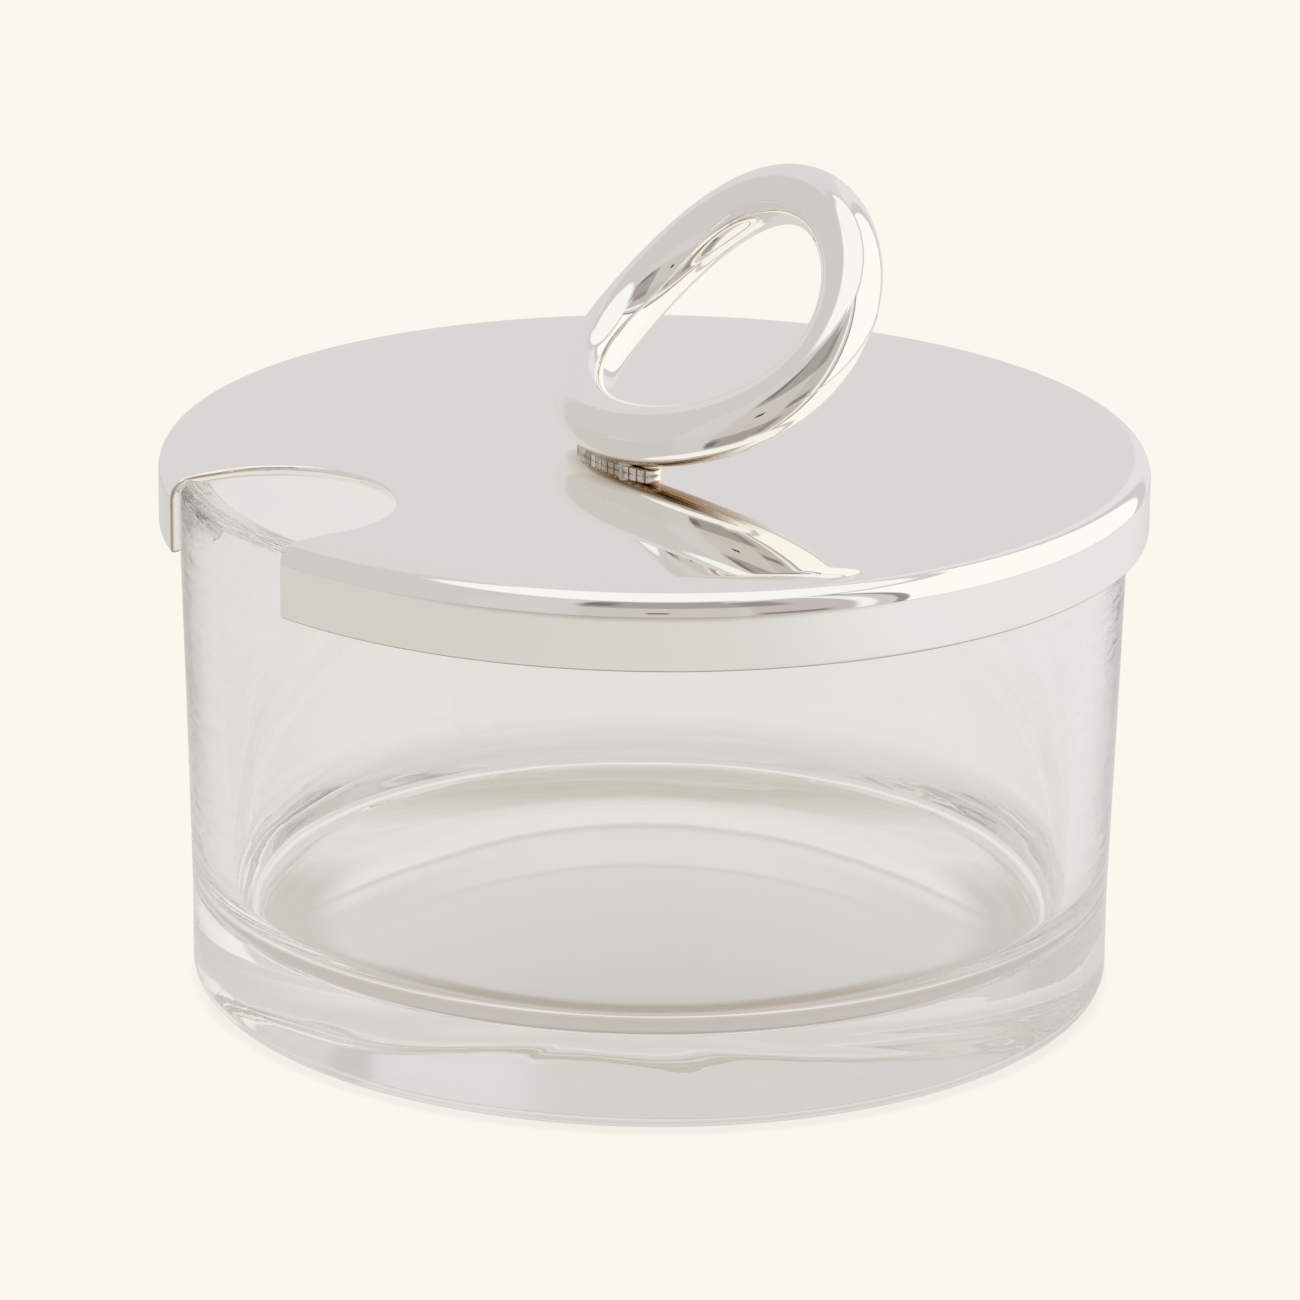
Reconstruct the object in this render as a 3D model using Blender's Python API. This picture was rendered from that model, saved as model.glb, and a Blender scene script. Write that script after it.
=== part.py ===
"""Lidded glass bowl with a leaning ring handle.

A thick glass bowl stands on its flat base. A sheet metal cap rests loosely on its rim, with a
spoon notch cut through its top and skirt. The ring handle leans over the cap from a small oval
foot, and two screws with washers hold ring and foot from underneath. Units are metres, +Z is up,
and the origin is the middle of the base. The cap, with all it carries, lifts straight off.
"""

import math

import bmesh
import bpy
from mathutils import Matrix, Vector

MM = 0.001
GAP = 0.3 * MM  # between pieces that touch on the real object
FIT = 0.2 * MM  # around the small fixings

# Glass bowl
BASE_RADIUS = 53.9 * MM
BASE_HEIGHT = 10.5 * MM  # the wall stands straight up to here, then flares
MOUTH_RADIUS = 55.3 * MM
WALL = 3.5 * MM  # at the mouth
BASE_ROUNDING = 2.2 * MM
RIM_ROUNDING = 1.5 * MM
FLOOR_HEIGHT = 9.0 * MM
FLOOR_RADIUS = 49.6 * MM  # where the wall meets the floor, before rounding
FLOOR_ROUNDING = 7.0 * MM

# Cap
CAP_RADIUS = 57.5 * MM
CAP_TOP = 64.5 * MM
CAP_SHEET = 1.3 * MM
CAP_EDGE_ROUNDING = 2.6 * MM
SKIRT_DEPTH = 9.1 * MM
CAP_UNDERSIDE = CAP_TOP - CAP_SHEET
RIM_HEIGHT = CAP_UNDERSIDE - GAP

# Spoon notch, a slot with a round inner end that runs out through the skirt
NOTCH_DIRECTION = math.radians(-150)
NOTCH_HALF_WIDTH = 13.5 * MM
NOTCH_ROUND_CENTRE = 49.2 * MM  # from the cap's axis

# Ring handle: a round bar bent into a ring, with its plane leaning and slightly saddle shaped
RING_CENTRE = Vector((7.1 * MM, 0.5 * MM, CAP_TOP + 14.45 * MM))
RING_FACES = math.radians(-146.6)  # the compass direction of the ring's normal
RING_LEAN = math.radians(49.7)  # the normal's angle above the horizontal
RING_RADIUS = 18.1 * MM  # of the bar's centre line
BAR_RADIUS = 3.57 * MM
RING_BEND = 1.8 * MM  # the saddle's height each way out of the ring's plane

# Foot under the lowest stretch of the ring
FOOT_LENGTH = 15.0 * MM
FOOT_WIDTH = 3.8 * MM
FOOT_HEIGHT = 0.9 * MM

# Two screws in line through washer, cap and foot into the bar
SCREW_SPACING = 8.0 * MM
SCREW_RADIUS = 1.0 * MM
SCREW_REACH = 3.2 * MM  # above the cap
SCREW_HEAD_RADIUS = 1.9 * MM
SCREW_HEAD_HEIGHT = 1.4 * MM
SCREW_SLOT_WIDTH = 0.5 * MM
SCREW_SLOT_DEPTH = 0.6 * MM
WASHER_RADIUS = 2.7 * MM
WASHER_THICKNESS = 0.5 * MM

# Smoothness
TURN_STEPS = 72
CORNER_STEPS = 4
RING_POINTS = 56
SMALL_STEPS = 20


def clear_scene():
    for obj in list(bpy.data.objects):
        bpy.data.objects.remove(obj)


def make_material(name, colour, roughness, metallic, transmission=0.0):
    material = bpy.data.materials.new(name)
    material.use_nodes = True
    shader = material.node_tree.nodes["Principled BSDF"]
    shader.inputs["Base Color"].default_value = (*colour, 1.0)
    shader.inputs["Roughness"].default_value = roughness
    shader.inputs["Metallic"].default_value = metallic
    shader.inputs["Transmission Weight"].default_value = transmission
    material.diffuse_color = (*colour, 1.0 - 0.65 * transmission)
    return material


def arc(centre_x, centre_y, radius, start_deg, end_deg, steps=CORNER_STEPS):
    """Points of a circular arc, both ends included."""
    angles = [math.radians(start_deg + (end_deg - start_deg) * i / steps) for i in range(steps + 1)]
    return [(centre_x + radius * math.cos(a), centre_y + radius * math.sin(a)) for a in angles]


def add_object(name, mesh, material):
    obj = bpy.data.objects.new(name, mesh)
    bpy.context.scene.collection.objects.link(obj)
    mesh.materials.clear()
    mesh.materials.append(material)
    mesh.shade_smooth()
    mesh.set_sharp_from_angle(angle=math.radians(35))
    return obj


def finish_mesh(name, shape):
    """Turns the bmesh into a mesh whose faces all point out."""
    bmesh.ops.recalc_face_normals(shape, faces=shape.faces)
    mesh = bpy.data.meshes.new(name)
    shape.to_mesh(mesh)
    shape.free()
    return mesh


def turned_mesh(name, outline, steps=TURN_STEPS):
    """Spins an outline of (radius, height) about Z. An outline that leaves the axis is closed."""
    shape = bmesh.new()
    points = [shape.verts.new((radius, 0.0, height)) for radius, height in outline]
    edges = [shape.edges.new(pair) for pair in zip(points, points[1:])]
    if outline[0][0] > 0.0:
        edges.append(shape.edges.new((points[-1], points[0])))
    bmesh.ops.spin(
        shape, geom=points + edges, cent=(0, 0, 0), axis=(0, 0, 1), angle=math.tau, steps=steps
    )
    bmesh.ops.remove_doubles(shape, verts=shape.verts, dist=0.001 * MM)
    return finish_mesh(name, shape)


def extruded_mesh(name, outline, bottom, top):
    """A prism that stands on a flat outline of (x, y) points."""
    shape = bmesh.new()
    face = shape.faces.new([shape.verts.new((x, y, bottom)) for x, y in outline])
    raised = bmesh.ops.extrude_face_region(shape, geom=[face])["geom"]
    moved = [item for item in raised if isinstance(item, bmesh.types.BMVert)]
    bmesh.ops.translate(shape, verts=moved, vec=(0, 0, top - bottom))
    return finish_mesh(name, shape)


def oval(length, width):
    """A slot outline along X with round ends."""
    radius = width / 2
    reach = length / 2 - radius
    right = arc(reach, 0.0, radius, -90, 90, SMALL_STEPS // 2)
    left = arc(-reach, 0.0, radius, 90, 270, SMALL_STEPS // 2)
    return right + left


def cut(obj, cutter):
    """Takes the cutter, a helper that is never rendered, out of the object."""
    cutter.hide_render = True
    cutter.display_type = "WIRE"
    modifier = obj.modifiers.new("cut " + cutter.name, "BOOLEAN")
    modifier.operation = "DIFFERENCE"
    modifier.solver = "EXACT"
    modifier.object = cutter


def make_bowl(material):
    inner_mouth = MOUTH_RADIUS - WALL
    wall_lean = math.degrees(math.atan2(inner_mouth - FLOOR_RADIUS, RIM_HEIGHT - FLOOR_HEIGHT))
    outline = [(0.0, 0.0)]
    outline += arc(BASE_RADIUS - BASE_ROUNDING, BASE_ROUNDING, BASE_ROUNDING, -90, 0)
    outline.append((BASE_RADIUS, BASE_HEIGHT))
    outline += arc(MOUTH_RADIUS - RIM_ROUNDING, RIM_HEIGHT - RIM_ROUNDING, RIM_ROUNDING, 0, 90)
    outline += arc(inner_mouth + RIM_ROUNDING, RIM_HEIGHT - RIM_ROUNDING, RIM_ROUNDING, 90, 180)
    floor_corner = FLOOR_RADIUS - FLOOR_ROUNDING
    outline += arc(
        floor_corner, FLOOR_HEIGHT + FLOOR_ROUNDING, FLOOR_ROUNDING, -wall_lean, -90, CORNER_STEPS + 1
    )
    outline.append((0.0, FLOOR_HEIGHT))
    return add_object("glass_bowl", turned_mesh("glass_bowl", outline), material)


def make_cap(material, screw_places):
    skirt_bottom = CAP_TOP - SKIRT_DEPTH
    inner_radius = CAP_RADIUS - CAP_SHEET
    inner_rounding = CAP_EDGE_ROUNDING - CAP_SHEET
    corner = CAP_RADIUS - CAP_EDGE_ROUNDING
    corner_height = CAP_TOP - CAP_EDGE_ROUNDING
    outline = [(0.0, CAP_UNDERSIDE)]
    outline += arc(corner, corner_height, inner_rounding, 90, 0)
    outline.append((inner_radius, skirt_bottom))
    outline.append((CAP_RADIUS, skirt_bottom))
    outline += arc(corner, corner_height, CAP_EDGE_ROUNDING, 0, 90)
    outline.append((0.0, CAP_TOP))
    cap = add_object("lid_cap", turned_mesh("lid_cap", outline), material)

    reach = CAP_RADIUS + 5 * MM
    round_end = arc(NOTCH_ROUND_CENTRE, 0.0, NOTCH_HALF_WIDTH, 90, 270, 16)
    slot = [(reach, -NOTCH_HALF_WIDTH), (reach, NOTCH_HALF_WIDTH), *round_end]
    slot_mesh = extruded_mesh("notch_cutter", slot, skirt_bottom - MM, CAP_TOP + MM)
    notch = add_object("notch_cutter", slot_mesh, material)
    notch.rotation_euler.z = NOTCH_DIRECTION
    cut(cap, notch)
    for index, place in enumerate(screw_places):
        cut(cap, make_hole_cutter(f"cap_hole_cutter_{index}", place, CAP_UNDERSIDE - MM, material))
    return cap


def make_hole_cutter(name, place, bottom, material):
    """A round cutter, a little wider than a screw, up to just above the screw's tip."""
    radius = SCREW_RADIUS + FIT
    top = CAP_TOP + SCREW_REACH + FIT
    outline = [(0.0, bottom), (radius, bottom), (radius, top), (0.0, top)]
    cutter = add_object(name, turned_mesh(name, outline, SMALL_STEPS), material)
    cutter.location = (place.x, place.y, 0.0)
    return cutter


def ring_frame():
    """The ring's own directions: along the horizontal, up its slope, and its normal."""
    level = math.cos(RING_LEAN)
    normal = Vector(
        (level * math.cos(RING_FACES), level * math.sin(RING_FACES), math.sin(RING_LEAN))
    )
    along = Vector((0, 0, 1)).cross(normal).normalized()
    return along, normal.cross(along), normal


def ring_point(angle):
    """A point on the bar's centre line, at an angle from the level direction."""
    along, upslope, normal = ring_frame()
    flat = along * math.cos(angle) + upslope * math.sin(angle)
    return RING_CENTRE + RING_RADIUS * flat - RING_BEND * math.cos(2 * angle) * normal


def ring_seat():
    """The spot on the cap under the lowest point of the ring, which is three quarters round."""
    lowest = ring_point(1.5 * math.pi)
    return Vector((lowest.x, lowest.y, CAP_TOP))


def seat_matrix(seat):
    """Places a shape on the seat with its X along the ring's level direction."""
    along = ring_frame()[0]
    return Matrix.Translation(seat) @ Matrix.Rotation(math.atan2(along.y, along.x), 4, "Z")


def make_ring(material, seat, screw_places):
    curve = bpy.data.curves.new("ring_path", "CURVE")
    curve.dimensions = "3D"
    curve.bevel_depth = BAR_RADIUS
    curve.bevel_resolution = 2
    path = curve.splines.new("POLY")
    path.points.add(RING_POINTS - 1)
    path.use_cyclic_u = True
    for index, point in enumerate(path.points):
        point.co = (*ring_point(math.tau * index / RING_POINTS), 1.0)
    guide = bpy.data.objects.new("ring_path", curve)
    mesh = bpy.data.meshes.new_from_object(guide)
    mesh.name = "ring_handle"
    bpy.data.objects.remove(guide)
    ring = add_object("ring_handle", mesh, material)

    pocket = oval(FOOT_LENGTH + 2 * GAP, FOOT_WIDTH + 2 * GAP)
    pocket_mesh = extruded_mesh("pocket_cutter", pocket, -MM, FOOT_HEIGHT + 2 * GAP)
    pocket_cutter = add_object("pocket_cutter", pocket_mesh, material)
    pocket_cutter.matrix_world = seat_matrix(seat)
    cut(ring, pocket_cutter)
    for index, place in enumerate(screw_places):
        cut(ring, make_hole_cutter(f"ring_hole_cutter_{index}", place, CAP_TOP, material))
    return ring


def make_foot(material, seat, screw_places):
    mesh = extruded_mesh("handle_foot", oval(FOOT_LENGTH, FOOT_WIDTH), GAP, GAP + FOOT_HEIGHT)
    foot = add_object("handle_foot", mesh, material)
    foot.matrix_world = seat_matrix(seat)
    for index, place in enumerate(screw_places):
        cut(foot, make_hole_cutter(f"foot_hole_cutter_{index}", place, CAP_TOP - MM, material))
    return foot


def make_washer(name, material, place):
    top = CAP_UNDERSIDE - FIT
    bottom = top - WASHER_THICKNESS
    bore = SCREW_RADIUS + FIT
    outline = [(bore, bottom), (WASHER_RADIUS, bottom), (WASHER_RADIUS, top), (bore, top)]
    washer = add_object(name, turned_mesh(name, outline, SMALL_STEPS), material)
    washer.location = (place.x, place.y, 0.0)
    return washer


def make_screw(name, material, place):
    head_top = CAP_UNDERSIDE - 2 * FIT - WASHER_THICKNESS
    head_bottom = head_top - SCREW_HEAD_HEIGHT
    chamfer = 0.4 * MM
    outline = [
        (0.0, head_bottom),
        (SCREW_HEAD_RADIUS - chamfer, head_bottom),
        (SCREW_HEAD_RADIUS, head_bottom + chamfer),
        (SCREW_HEAD_RADIUS, head_top),
        (SCREW_RADIUS, head_top),
        (SCREW_RADIUS, CAP_TOP + SCREW_REACH),
        (0.0, CAP_TOP + SCREW_REACH),
    ]
    screw = add_object(name, turned_mesh(name, outline, SMALL_STEPS), material)
    screw.location = (place.x, place.y, 0.0)

    across = SCREW_HEAD_RADIUS + MM
    half = SCREW_SLOT_WIDTH / 2
    slot = [(-across, -half), (across, -half), (across, half), (-across, half)]
    slot_mesh = extruded_mesh(
        name + "_slot_cutter", slot, head_bottom - MM, head_bottom + SCREW_SLOT_DEPTH
    )
    slot_cutter = add_object(name + "_slot_cutter", slot_mesh, material)
    slot_cutter.location = screw.location
    cut(screw, slot_cutter)
    return screw


def main():
    clear_scene()
    glass = make_material("clear_glass", (0.93, 0.94, 0.93), 0.02, 0.0, 1.0)
    silver = make_material("silver_plate", (0.87, 0.86, 0.83), 0.06, 1.0)
    foot_silver = make_material("foot_silver", (0.62, 0.60, 0.57), 0.2, 1.0)
    steel = make_material("screw_steel", (0.60, 0.60, 0.61), 0.25, 1.0)

    seat = ring_seat()
    along = ring_frame()[0]
    screw_places = [seat + side * SCREW_SPACING / 2 * along for side in (1, -1)]

    make_bowl(glass)
    lid_pieces = [
        make_cap(silver, screw_places),
        make_foot(foot_silver, seat, screw_places),
        make_ring(silver, seat, screw_places),
    ]
    for side, place in zip(("front", "rear"), screw_places):
        lid_pieces.append(make_washer(f"{side}_washer", steel, place))
        lid_pieces.append(make_screw(f"{side}_screw", steel, place))

    # The lid lifts along its own axis, from the height of the bowl's rim.
    lid = bpy.data.objects.new("lid", None)
    lid.location = (0.0, 0.0, RIM_HEIGHT)
    bpy.context.scene.collection.objects.link(lid)
    bpy.context.view_layer.update()
    for piece in lid_pieces:
        piece.parent = lid
        piece.matrix_parent_inverse = lid.matrix_world.inverted()
    bpy.context.view_layer.update()


main()
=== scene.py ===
"""Looks of a lidded glass table bowl with a leaning ring handle.

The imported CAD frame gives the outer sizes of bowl, cap and washers, and the screws themselves. The
sizes named below follow the same CAD model. This script builds the fine surfaces: the turned glass,
the silver-plated cap with its spoon notch, the ring, its ribbed foot and the washers, then the
studio and the camera. Units are metres, +Z is up.
"""

import math

import bmesh
import bpy
from mathutils import Matrix, Vector
from mathutils.bvhtree import BVHTree


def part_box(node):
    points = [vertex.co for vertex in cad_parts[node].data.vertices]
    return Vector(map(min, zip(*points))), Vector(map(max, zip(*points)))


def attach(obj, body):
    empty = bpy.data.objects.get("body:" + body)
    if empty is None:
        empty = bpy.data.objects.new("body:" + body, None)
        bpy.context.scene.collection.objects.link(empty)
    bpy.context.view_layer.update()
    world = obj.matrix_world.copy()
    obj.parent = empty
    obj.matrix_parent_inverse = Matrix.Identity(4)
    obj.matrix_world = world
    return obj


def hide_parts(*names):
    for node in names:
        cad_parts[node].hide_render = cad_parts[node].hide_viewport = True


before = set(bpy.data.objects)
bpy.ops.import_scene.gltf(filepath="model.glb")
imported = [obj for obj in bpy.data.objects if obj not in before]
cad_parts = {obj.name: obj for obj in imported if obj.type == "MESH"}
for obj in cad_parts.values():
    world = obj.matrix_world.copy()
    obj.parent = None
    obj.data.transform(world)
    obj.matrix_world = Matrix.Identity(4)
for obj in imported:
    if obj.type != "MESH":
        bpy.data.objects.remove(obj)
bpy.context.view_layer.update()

MM = 0.001

# Places and outer sizes, from the CAD frame
BOWL_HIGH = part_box("glass_bowl")[1]
CAP_LOW, CAP_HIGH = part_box("lid_cap")
MOUTH_RADIUS = BOWL_HIGH.x
RIM_HEIGHT = BOWL_HIGH.z
CAP_RADIUS = (CAP_HIGH.x - CAP_LOW.x) / 2
CAP_TOP = CAP_HIGH.z
SKIRT_BOTTOM = CAP_LOW.z

# Glass bowl
BASE_RADIUS = MOUTH_RADIUS - 1.4 * MM
BASE_HEIGHT = 10.5 * MM
WALL = 3.5 * MM
BASE_ROUNDING = 2.2 * MM
RIM_ROUNDING = 1.5 * MM
FLOOR_HEIGHT = 9.0 * MM
FLOOR_RADIUS = 49.6 * MM
FLOOR_ROUNDING = 7.0 * MM
GLASS_STEPS = 288
UNDERSIDE_RISE = 0.16 * MM  # the underside is very slightly hollow
UNDERSIDE_RING = 47.0 * MM  # outside this radius it is flat and stands on the table
UNDERSIDE_WAVE = 0.11 * MM
WALL_WAVE = 0.04 * MM
GLASS_ABSORPTION = 0.55  # per metre
GLASS_ABSORBS = (0.26, 0.32, 0.27)
GLASS_IOR = 1.52
GLASS_BUMP = 0.25
GLASS_BUMP_HEIGHT = 0.12 * MM
CHILL_MARK_SHARE = 0.5  # height of the level chill marks beside that of the broad waves
CHILL_MARK_TINT = (0.962, 0.965, 0.967)  # what a chill mark lets through
CHILL_MARKS_START = 41.0 * MM  # from the middle sideways: they lie on the wall's left and right
CHILL_MARKS_FULL = 52.0 * MM

# Cap
CAP_SHEET = 1.3 * MM
CAP_UNDERSIDE = CAP_TOP - CAP_SHEET
ROLL_DROP = 0.27 * MM  # how far the top has sunk where the edge rounding begins
CAP_EDGE_ROUNDING = 2.45 * MM
LIP_ROUNDING = 0.45 * MM
SKIRT_START = 54.5 * MM  # further out than this, the cut belongs to the skirt
NOTCH_DIRECTION = math.radians(-150)
NOTCH_HALF_WIDTH = 13.5 * MM
NOTCH_ROUND_CENTRE = 49.2 * MM
NOTCH_EDGE = 0.42 * MM  # width of the softened cut edge
FLAT_RADIUS = math.hypot(NOTCH_ROUND_CENTRE, NOTCH_HALF_WIDTH) - 0.6 * MM  # of the filled-in flat
CAP_STEPS = 320
NOTCH_END_STEPS = 48

# Ring handle
RING_CENTRE = Vector((7.1 * MM, 0.5 * MM, CAP_TOP + 14.41 * MM))
RING_FACES = math.radians(-146.6)
RING_LEAN = math.radians(49.7)
RING_RADIUS = 18.1 * MM
BAR_RADIUS = 3.53 * MM
RING_BEND = 1.8 * MM
RING_LOWEST = 1.5 * math.pi  # the turn at which the ring comes down on its foot
RING_STEPS = 240
BAR_STEPS = 64
SMALL_TURN = 1e-3  # step along the ring for finding its direction

# Foot, a bent oval
FOOT_LENGTH = 14.6 * MM
FOOT_SHIFT = 1.0 * MM  # towards its right end
FOOT_WIDTH = 3.0 * MM
FOOT_HEIGHT = 0.76 * MM
RIB_PITCH = 1.1 * MM
RIB_DEPTH = 0.2 * MM
POLISHED_END = 0.8 * MM

# Washers
WASHER_BORE_RADIUS = 1.2 * MM
WASHER_ROUNDING = 0.12 * MM

# Colours of the materials, as the share of red, green and blue light
WHITE = (1.0, 1.0, 1.0)
SILVER = (0.978, 0.966, 0.935)
# Painted reflection lines on the cap: brown along the notch's upper edge and on the skirt's cut ends,
# and a painted dark line along the skirt's lower edge.
PAINTED_EDGE_BROWN = (0.50, 0.36, 0.24)
PAINTED_EDGE_DEPTH = 0.85
CUT_LINE_LOW, CUT_LINE_HIGH = -0.52 * MM, -0.34 * MM  # of the brown line along the notch, from the top
CUT_LINE_START, CUT_LINE_FULL = 38.0 * MM, 50.0 * MM  # it fades in towards the skirt
SKIRT_CUT_INNER, SKIRT_CUT_OUTER = 0.06 * MM, 0.26 * MM  # of the brown on the skirt's cut ends
LIP_LINE_LOW, LIP_LINE_HIGH = 0.16 * MM, 0.32 * MM  # of the brown line under the skirt
# Painted shade on the ring: a warm brown in the crevice where it closes down on the cap and on its
# underside facing down near the cap, mostly on its right.
RING_PAINTED_SHADE = (0.42, 0.28, 0.17)
RING_PAINTED_SHADE_DEPTH = 0.95
CREVICE_FULL, CREVICE_END = 0.8 * MM, 2.0 * MM  # brown in the crevice, by height above the cap
UNDERSIDE_FULL, UNDERSIDE_END = 2.0 * MM, 6.0 * MM  # brown on the ring's underside, also by height
FACING_DOWN_START, FACING_DOWN_FULL = -0.72, -0.9  # upright part of the surface's direction
LEFT_PAINTED_SHADE_SHARE = 0.3
RIB_CAST = ((0.82, 0.79, 0.75), (0.50, 0.43, 0.37))  # from light to dark
RIB_ROUGHNESS = 0.14
# Painted shade in the grooves between the ribs: their faces take this dark brown plate.
GROOVE_PAINTED_SHADE = ((0.34, 0.26, 0.20), (0.22, 0.16, 0.12))
GROOVE_ROUGHNESS = 0.3
SILVER_RIPPLE = 0.1
RIPPLE_HEIGHT = 0.02 * MM
METAL_GAIN = tuple(1.0 / share for share in SILVER)  # makes up for what one reflection takes

# Studio, with colours as display values
FLOOR_REACH = 3.0
FLOOR_SEEN = (250, 247, 238)
CONTACT_SHADE = (243, 238, 229)
CONTACT_SHADE_START = BASE_RADIUS - 0.6 * MM
CONTACT_SHADE_END = BASE_RADIUS + 0.6 * MM
FLOOR_GAP = 0.2 * MM  # air under the base, so that the glass mirrors its own underside
TABLE_REACH = 0.26
# The table top glows with painted light and shade: lighter towards the right, where the softbox stands,
# and a painted soft shadow close round the base.
TABLE_IN_METAL = (  # sideways place in metres and colour
    (-0.16, (211, 207, 199)),
    (-0.05, (214, 211, 202)),
    (0.09, (218, 215, 210)),
    (0.16, (230, 227, 223)),
    (0.20, (232, 228, 225)),
)
TABLE_THROUGH_LEFT = (229, 225, 222)
TABLE_THROUGH_RIGHT = (235, 231, 228)
TABLE_THROUGH_REACH = 0.12  # how far to either side the one turns into the other
TABLE_NEAR = (216, 212, 209)  # in the soft shadow close round the base
TABLE_NEAR_START = 56.0 * MM
TABLE_NEAR_END = 75.0 * MM
TABLE_EDGE = (150, 128, 108)  # where the table ends, mirrored low in the skirt
EDGE_GLINT = (246, 242, 236)  # a thin ring of light that the rounded foot of the glass gathers
EDGE_GLINT_RADIUS = 53.5 * MM
LIGHT_BOUNCES = 64
COMPASS_TURN = 120.0  # puts the seam of the compass at -60 degrees, within one plain stretch

# The table under the glass base, where its light and shadow lie in shallow arcs. Each stop is a
# distance towards the back in millimetres and a colour.
ARC_BEND = 18.0  # how much an arc falls back towards its ends, per metre
UNDER_BASE = (
    (-48, (196, 191, 184)),
    (-30, (200, 195, 190)),
    (-12, (208, 204, 199)),
    (0, (212, 208, 203)),
    (10, (216, 213, 208)),
    (15.4, (219, 216, 211)),
    (16.4, (208, 205, 198)),
    (17.6, (226, 222, 219)),
    (28.4, (228, 224, 221)),
    (29.4, (212, 208, 199)),
    (30.4, (213, 209, 201)),
    (31.3, (238, 234, 230)),
    (34, (239, 235, 232)),
    (38, (233, 229, 225)),
)
UNDER_SIDES = (216, 212, 208)
UNDER_SIDES_START, UNDER_SIDES_FULL = 14.0 * MM, 32.0 * MM  # from the middle sideways
UNDER_SIDES_NEAR, UNDER_SIDES_FAR = 14.0 * MM, 24.0 * MM  # towards the back
# Shaded rings where the rounded corner of the glass floor bends the light: radii and colours
SHADE_INSIDE, SHADE_OUTSIDE = 41.0 * MM, 50.0 * MM
UNDER_BACK_RING = (194, 190, 174)
UNDER_SIDE_RING = (194, 190, 183)
FRONT_RING_INSIDE, FRONT_RING_OUTSIDE = 35.0 * MM, 39.0 * MM
UNDER_FRONT_RING = (170, 160, 144)
FRONT_EDGE_INSIDE, FRONT_EDGE_OUTSIDE = 48.0 * MM, 53.0 * MM
UNDER_FRONT_EDGE = (196, 188, 177)
SHADE_SOFTNESS = 4.0 * MM
# Where, towards the back, each stretch of the rings begins and is full
SHADE_BESIDE_START, SHADE_BESIDE_FULL = 20.0 * MM, 8.0 * MM
SHADE_BACK_START, SHADE_BACK_FULL = 29.0 * MM, 41.0 * MM
SHADE_FRONT_START, SHADE_FRONT_FULL = -16.0 * MM, -30.0 * MM

# Camera
CAMERA_DISTANCE = 897.96 * MM
CAMERA_ELEVATION = 0.3600
CAMERA_RAISE = 0.0414  # tangent of the angle by which it looks above the origin
CAMERA_ROLL = 0.0112
CAMERA_ASIDE = -0.3 * MM
SENSOR = 36.0
LENS = 209.39


# ---------------------------------------------------------------- mesh helpers


def arc(centre_r, centre_z, radius, start_deg, end_deg, steps):
    """Points of a circular arc, both ends included."""
    angles = [math.radians(start_deg + (end_deg - start_deg) * i / steps) for i in range(steps + 1)]
    return [(centre_r + radius * math.cos(a), centre_z + radius * math.sin(a)) for a in angles]


def ring_frame():
    level = math.cos(RING_LEAN)
    normal = Vector(
        (level * math.cos(RING_FACES), level * math.sin(RING_FACES), math.sin(RING_LEAN))
    )
    along = Vector((0, 0, 1)).cross(normal).normalized()
    return along, normal.cross(along), normal


def ring_point(angle):
    along, upslope, normal = ring_frame()
    flat = along * math.cos(angle) + upslope * math.sin(angle)
    return RING_CENTRE + RING_RADIUS * flat - RING_BEND * math.cos(2 * angle) * normal


def add_piece(name, shape, material, body):
    """Turns a bmesh into a smooth object that rides on a CAD body."""
    bmesh.ops.recalc_face_normals(shape, faces=shape.faces)
    mesh = bpy.data.meshes.new(name)
    shape.to_mesh(mesh)
    shape.free()
    mesh.shade_smooth()
    mesh.materials.append(material)
    obj = bpy.data.objects.new(name, mesh)
    bpy.context.scene.collection.objects.link(obj)
    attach(obj, body)
    return obj


def stand_for(obj, node):
    """The piece is shown in place of the CAD node of that name."""
    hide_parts(node)
    return obj


def lathe(outline, steps, centre=(0.0, 0.0), wave=None):
    """A closed turned shape. Its outline of (radius, height) runs from axis to axis or is a loop."""
    shape = bmesh.new()
    rings = []
    for radius, height in outline:
        if radius < 1e-9:
            rings.append([shape.verts.new((centre[0], centre[1], height))])
            continue
        ring = []
        for step in range(steps):
            angle = math.tau * step / steps
            r, z = (radius, height) if wave is None else wave(radius, height, angle)
            ring.append(
                shape.verts.new((centre[0] + r * math.cos(angle), centre[1] + r * math.sin(angle), z))
            )
        rings.append(ring)
    closed = outline[0][0] > 1e-9
    pairs = list(zip(rings, rings[1:])) + ([(rings[-1], rings[0])] if closed else [])
    for low, high in pairs:
        for step in range(steps):
            after = (step + 1) % steps
            if len(low) == 1:
                corners = (low[0], high[after], high[step])
            elif len(high) == 1:
                corners = (low[step], low[after], high[0])
            else:
                corners = (low[step], low[after], high[after], high[step])
            shape.faces.new(corners)
    return shape


# ---------------------------------------------------------------- materials


def new_material(name):
    """An empty material with its output, ready for nodes: (material, nodes, links, shader)."""
    material = bpy.data.materials.new(name)
    material.use_nodes = True
    tree = material.node_tree
    shader = tree.nodes["Principled BSDF"]
    return material, tree.nodes, tree.links, shader


def linear(colour):
    """Display values from 0 to 255 as linear light."""
    return tuple(((c / 255 + 0.055) / 1.055) ** 2.4 if c > 10 else c / 3294.6 for c in colour)


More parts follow.
